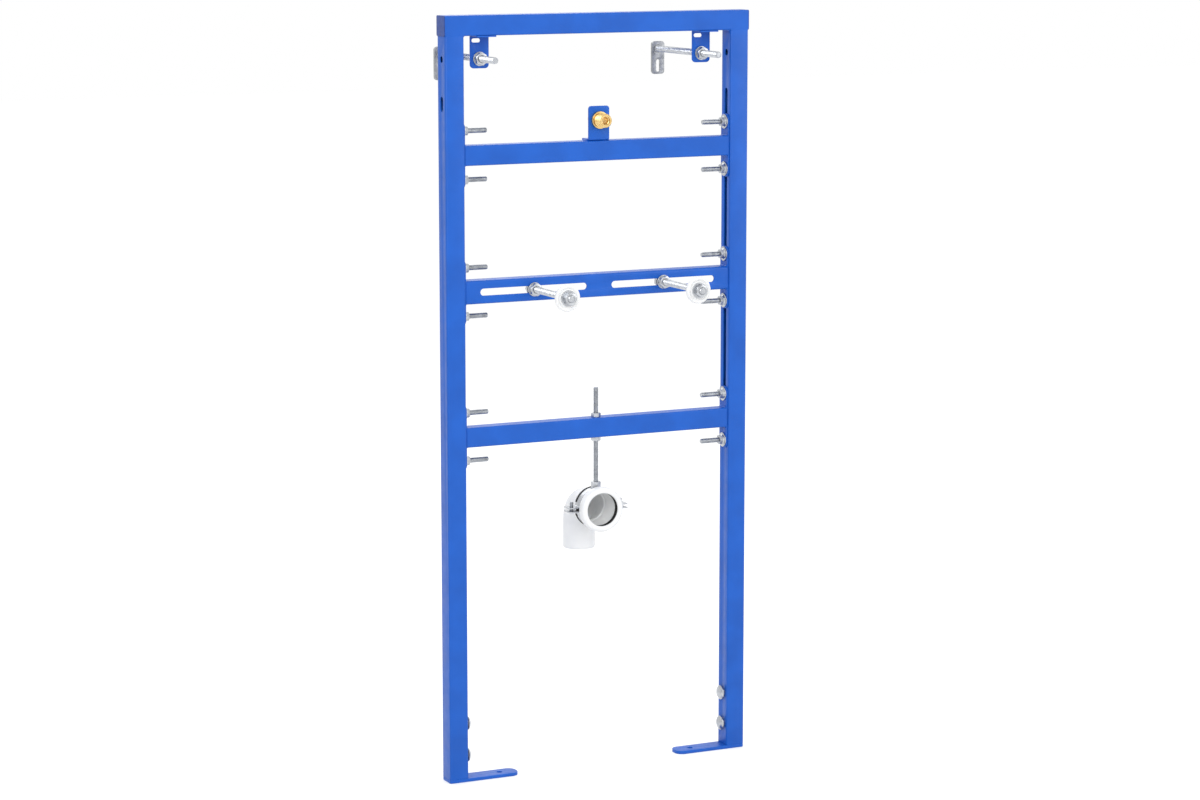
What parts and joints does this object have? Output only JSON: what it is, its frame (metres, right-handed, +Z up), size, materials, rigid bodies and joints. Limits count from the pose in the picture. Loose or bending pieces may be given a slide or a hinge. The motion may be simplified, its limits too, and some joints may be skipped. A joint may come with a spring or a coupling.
{
  "type": "bathroom support frame",
  "caption": "Tall narrow steel frame on two feet with height-adjustable crossbars that carry a water inlet, basin studs and a clamped waste elbow, tied back to the wall.",
  "frame": {"origin": "on the sole of the left foot, under the axis of the left upright", "axes": "+X from the left upright to the right one, front faces -Y, +Z up"},
  "size_m": [0.502, 0.3055, 1.15],
  "materials": {
    "painted_steel": "satin blue powder coat",
    "cap_plastic": "moulded dark blue",
    "zinc_steel": "zinc plated",
    "galvanised_steel": "galvanised sheet",
    "brass": "machined",
    "white_plastic": "moulded white polypropylene",
    "black_rubber": "moulded"
  },
  "bodies": {
    "frame": {"left_upright": "painted_steel", "right_upright": "painted_steel", "top_rail": "painted_steel", "end_caps": "cap_plastic", "left_foot": "painted_steel", "right_foot": "painted_steel", "foot_bolts": "zinc_steel", "left_wall_bracket": "painted_steel", "right_wall_bracket": "painted_steel", "left_wall_rod": "zinc_steel", "right_wall_rod": "zinc_steel", "wall_rod_nuts": "zinc_steel", "left_wall_plate": "galvanised_steel", "right_wall_plate": "galvanised_steel"},
    "upper_crossbar": {"upper_bar": "painted_steel", "upper_bar_plates": "painted_steel", "upper_bar_bolts": "zinc_steel", "upper_bar_nuts": "zinc_steel", "inlet_bracket": "painted_steel", "inlet_fitting": "brass", "inlet_lock_nut": "brass"},
    "middle_crossbar": {"middle_bar": "painted_steel", "middle_bar_plates": "painted_steel", "middle_bar_bolts": "zinc_steel", "middle_bar_nuts": "zinc_steel"},
    "left_stud": {"left_basin_stud": "zinc_steel", "left_stud_nuts": "zinc_steel", "left_stud_disc": "white_plastic"},
    "right_stud": {"right_basin_stud": "zinc_steel", "right_stud_nuts": "zinc_steel", "right_stud_disc": "white_plastic"},
    "lower_crossbar": {"lower_bar": "painted_steel", "lower_bar_plates": "painted_steel", "lower_bar_bolts": "zinc_steel", "lower_bar_nuts": "zinc_steel", "hanger_rod": "zinc_steel", "hanger_nuts": "zinc_steel", "clamp_upper_half": "zinc_steel", "clamp_lower_half": "zinc_steel", "clamp_lining": "black_rubber", "clamp_screws": "zinc_steel", "waste_elbow": "white_plastic", "elbow_seal": "black_rubber"}
  },
  "joints": [
    {"name": "upper_bar_slide", "type": "slide", "parent": "frame", "child": "upper_crossbar", "axis": [0, 0, 1], "range_m": [-0.04, 0.04]},
    {"name": "middle_bar_slide", "type": "slide", "parent": "frame", "child": "middle_crossbar", "axis": [0, 0, 1], "range_m": [-0.05, 0.05]},
    {"name": "lower_bar_slide", "type": "slide", "parent": "frame", "child": "lower_crossbar", "axis": [0, 0, 1], "range_m": [-0.005, 0.05]},
    {"name": "left_stud_slide", "type": "slide", "parent": "middle_crossbar", "child": "left_stud", "axis": [1, 0, 0], "range_m": [-0.08, 0.08]},
    {"name": "right_stud_slide", "type": "slide", "parent": "middle_crossbar", "child": "right_stud", "axis": [1, 0, 0], "range_m": [-0.08, 0.08]}
  ]
}
